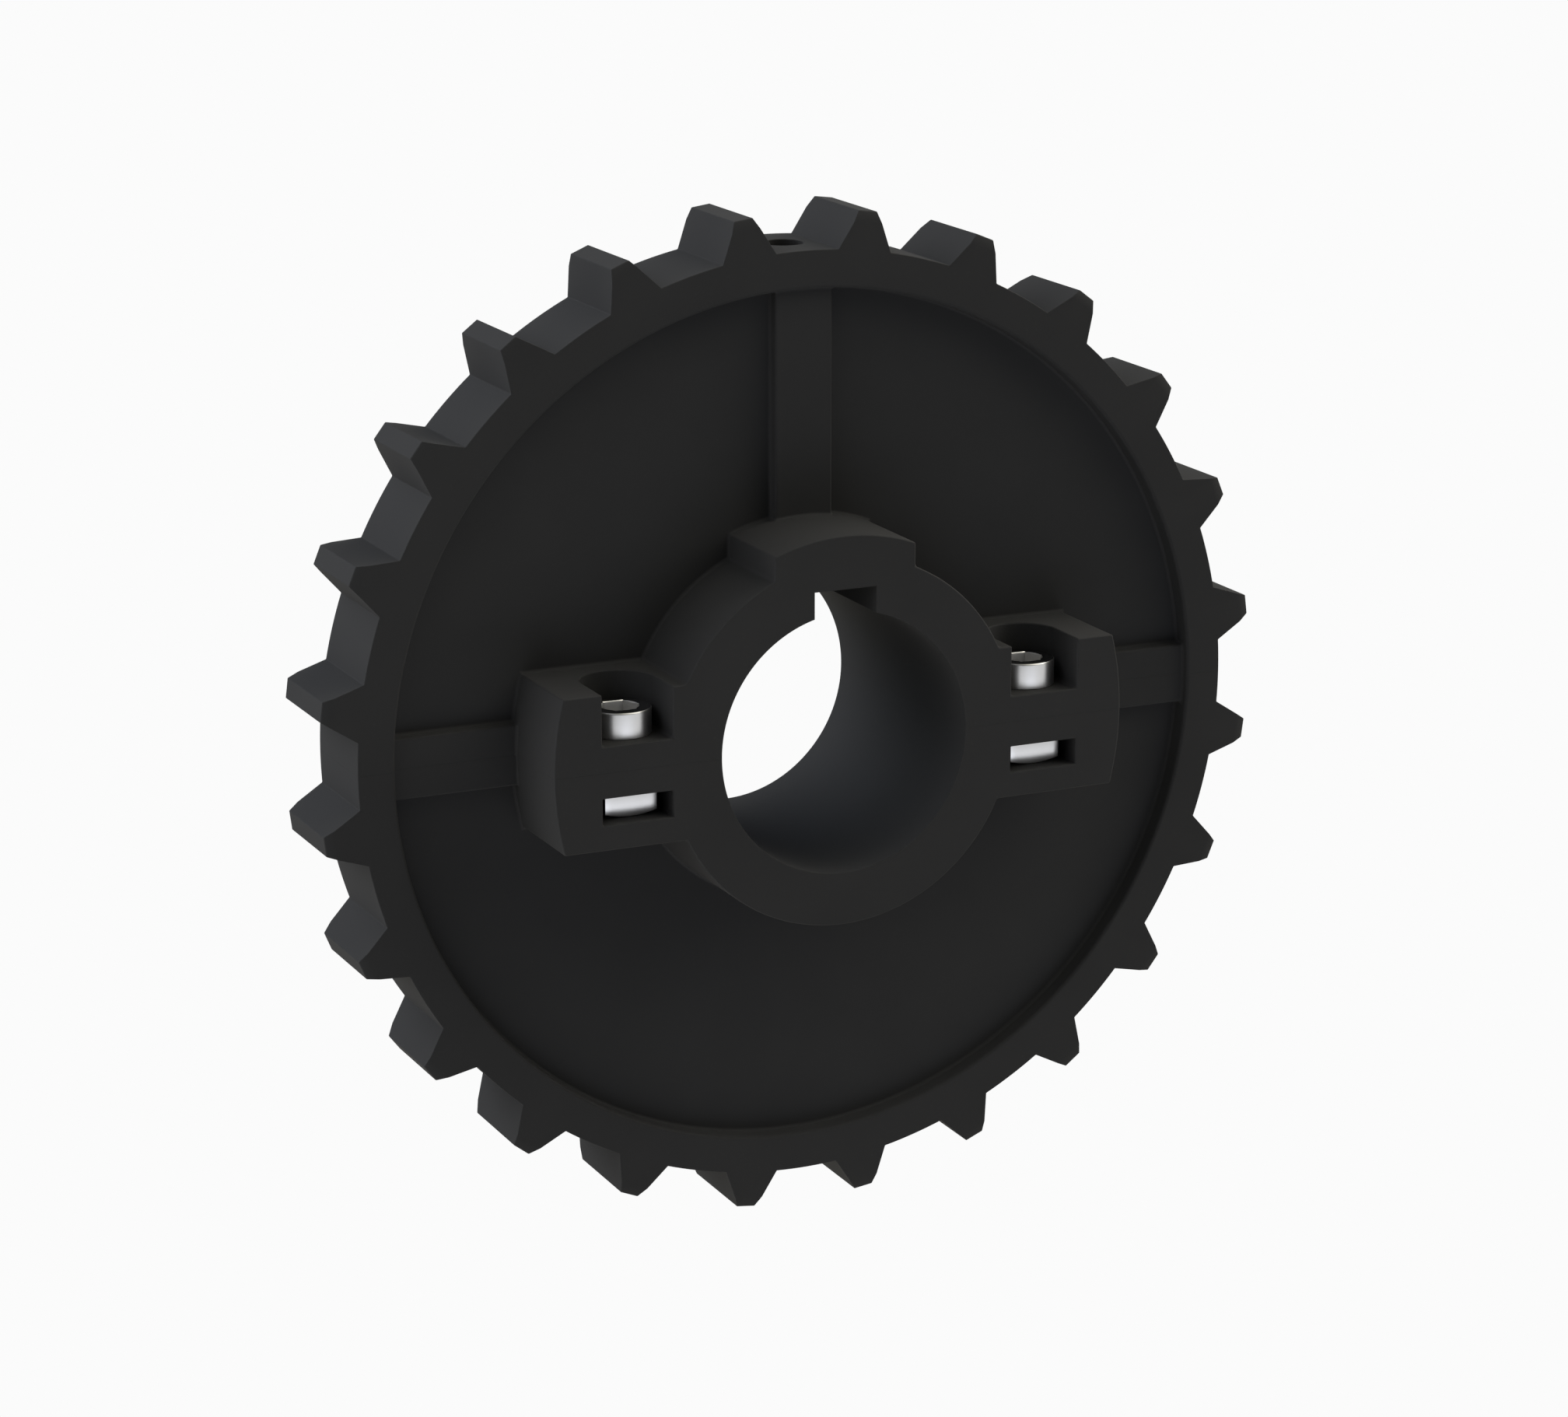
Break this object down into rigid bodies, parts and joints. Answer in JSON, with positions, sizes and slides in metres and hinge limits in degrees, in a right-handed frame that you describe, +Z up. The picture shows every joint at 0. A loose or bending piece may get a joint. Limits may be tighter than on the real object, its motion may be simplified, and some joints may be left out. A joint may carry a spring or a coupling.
{
  "type": "split chain sprocket",
  "caption": "Two-piece plastic conveyor-chain sprocket with a keyed bore, clamped round its shaft by cap screws and square nuts in the hub's ears.",
  "frame": {"origin": "on the shaft's axis, halfway between the hub's two end faces, which is the rim's middle plane", "axes": "+Y along the shaft, away from the front face; +Z up through the keyway, square to the split plane; +X to the right seen from the front"},
  "size_m": [0.1464, 0.041, 0.1464],
  "materials": {
    "black_plastic": "moulded glass-filled nylon, fine satin grain",
    "steel": "plain stainless steel, satin"
  },
  "bodies": {
    "lower_half": {"lower_half": "black_plastic", "square_nut_front_left": "steel", "square_nut_front_right": "steel", "square_nut_back_left": "steel", "square_nut_back_right": "steel", "dowel_left": "steel", "dowel_right": "steel"},
    "upper_half": {"upper_half": "black_plastic"},
    "key_set_screw": {"key_set_screw": "steel"},
    "cap_screw_front_left": {"cap_screw_front_left": "steel"},
    "cap_screw_front_right": {"cap_screw_front_right": "steel"},
    "cap_screw_back_left": {"cap_screw_back_left": "steel"},
    "cap_screw_back_right": {"cap_screw_back_right": "steel"}
  },
  "joints": [
    {"name": "halves_open", "type": "slide", "parent": "lower_half", "child": "upper_half", "axis": [0, 0, 1], "range_m": [0, 0.045]},
    {"name": "screw_out_front_left", "type": "slide", "parent": "upper_half", "child": "cap_screw_front_left", "axis": [0, 0, 1], "range_m": [0, 0.014]},
    {"name": "screw_out_front_right", "type": "slide", "parent": "upper_half", "child": "cap_screw_front_right", "axis": [0, 0, 1], "range_m": [0, 0.014]},
    {"name": "screw_out_back_left", "type": "slide", "parent": "upper_half", "child": "cap_screw_back_left", "axis": [0, 0, 1], "range_m": [0, 0.014]},
    {"name": "screw_out_back_right", "type": "slide", "parent": "upper_half", "child": "cap_screw_back_right", "axis": [0, 0, 1], "range_m": [0, 0.014]},
    {"name": "set_screw_out", "type": "slide", "parent": "upper_half", "child": "key_set_screw", "axis": [0, 0, 1], "range_m": [0, 0.012]}
  ]
}
